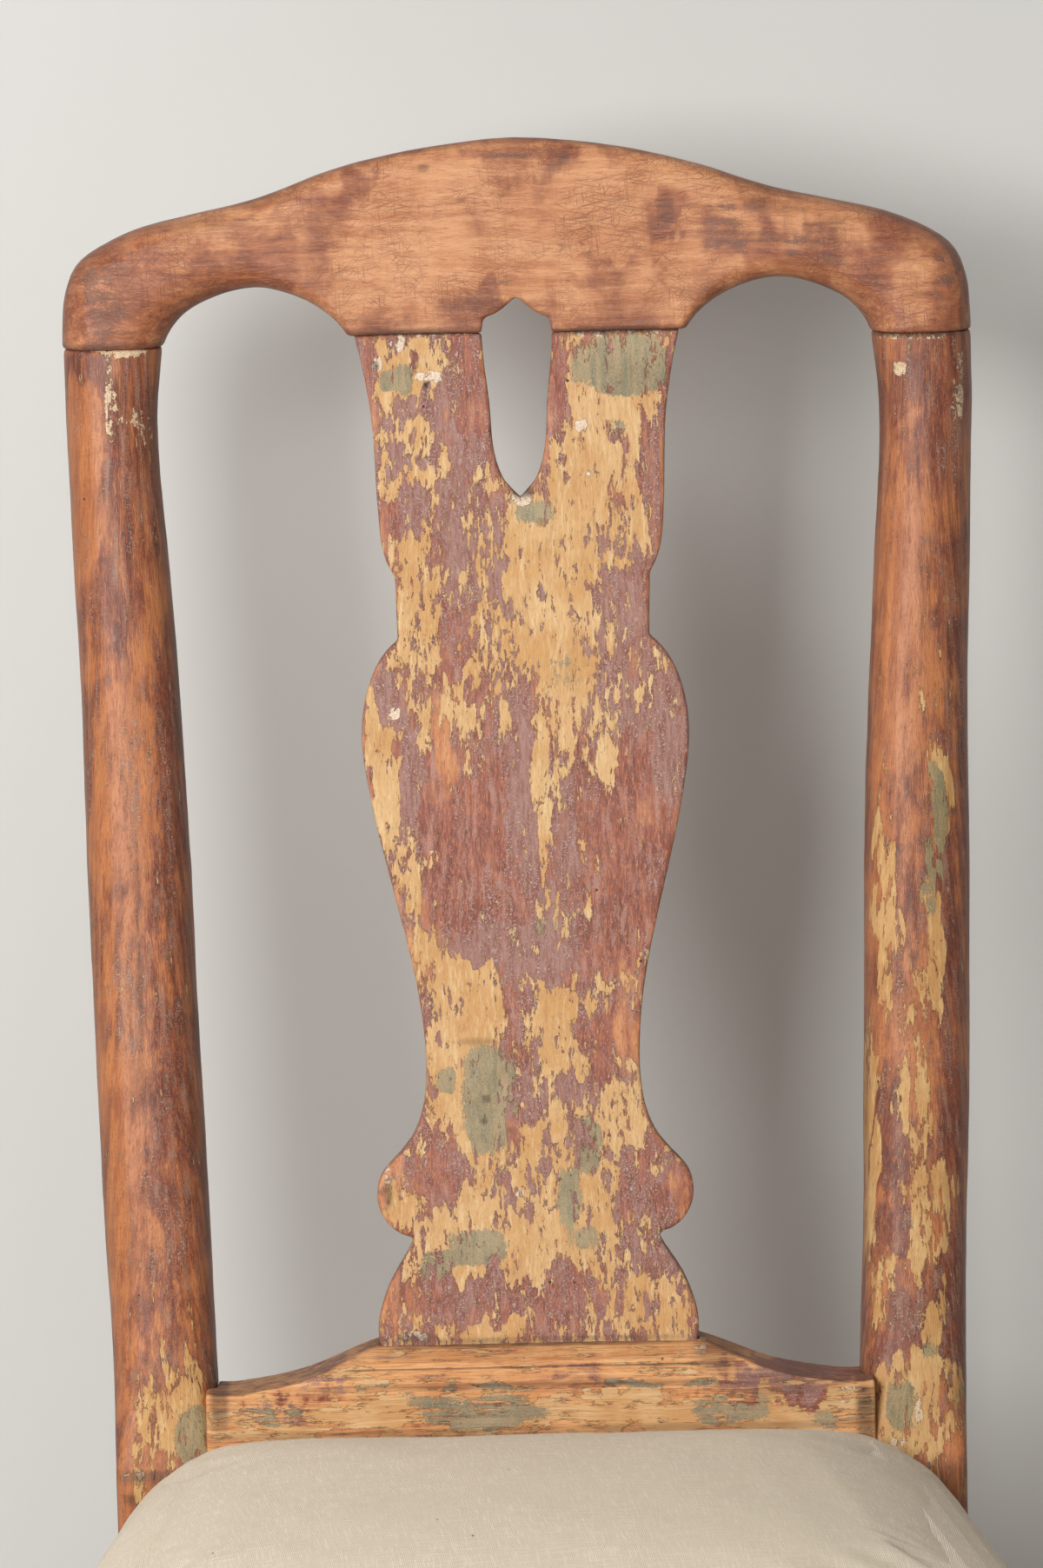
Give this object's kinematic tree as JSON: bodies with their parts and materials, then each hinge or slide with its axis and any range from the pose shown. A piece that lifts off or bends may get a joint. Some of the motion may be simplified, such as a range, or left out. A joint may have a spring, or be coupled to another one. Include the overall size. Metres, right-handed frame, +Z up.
{
  "type": "painted side chair",
  "caption": "Armless side chair with a pierced vase splat, hooped crest rail, moulded shoe, pad-foot front legs and a fixed stuffed linen seat.",
  "frame": {"origin": "centre of the plan rectangle round the chair, on the floor", "axes": "+Z up, the chair's front faces -Y, +X towards the viewer's right when the front is seen"},
  "size_m": [0.5316, 0.5567, 1.0709],
  "materials": {
    "post_paint": "rust-red and brown paint, dry scraped, matt",
    "crest_paint": "scraped pinkish wood with remains of red-brown paint, matt",
    "splat_paint": "ochre over mauve and maroon paint, flaked, matt",
    "shoe_paint": "ochre and orange paint over wood, worn, matt",
    "leg_paint": "rust-red and ochre paint, worn, matt",
    "frame_wood": "bare aged wood, planed",
    "peg_wood": "bare hardwood",
    "webbing": "woven jute",
    "hessian": "coarse plain weave",
    "stuffing": "hair and wadding",
    "linen": "pale natural linen, plain weave"
  },
  "bodies": {
    "root": {"rear_post_left": "post_paint", "rear_post_right": "post_paint", "crest_rail": "crest_paint", "back_splat": "splat_paint", "shoe_rail": "shoe_paint", "rear_seat_rail": "frame_wood", "front_seat_rail": "frame_wood", "side_seat_rail_left": "frame_wood", "side_seat_rail_right": "frame_wood", "front_leg_left": "leg_paint", "front_leg_right": "leg_paint", "knee_bracket_front_left": "leg_paint", "knee_bracket_front_right": "leg_paint", "knee_bracket_side_left": "leg_paint", "knee_bracket_side_right": "leg_paint", "corner_block_front_left": "frame_wood", "corner_block_front_right": "frame_wood", "corner_block_rear_left": "frame_wood", "corner_block_rear_right": "frame_wood", "side_stretcher_left": "leg_paint", "side_stretcher_right": "leg_paint", "cross_stretcher": "leg_paint", "rear_stretcher": "leg_paint", "joint_pegs": "peg_wood", "shoe_dowels": "peg_wood", "webbing_lengthwise": "webbing", "webbing_crosswise": "webbing", "seat_hessian": "hessian", "seat_stuffing": "stuffing", "seat_cover": "linen"}
  },
  "joints": []
}
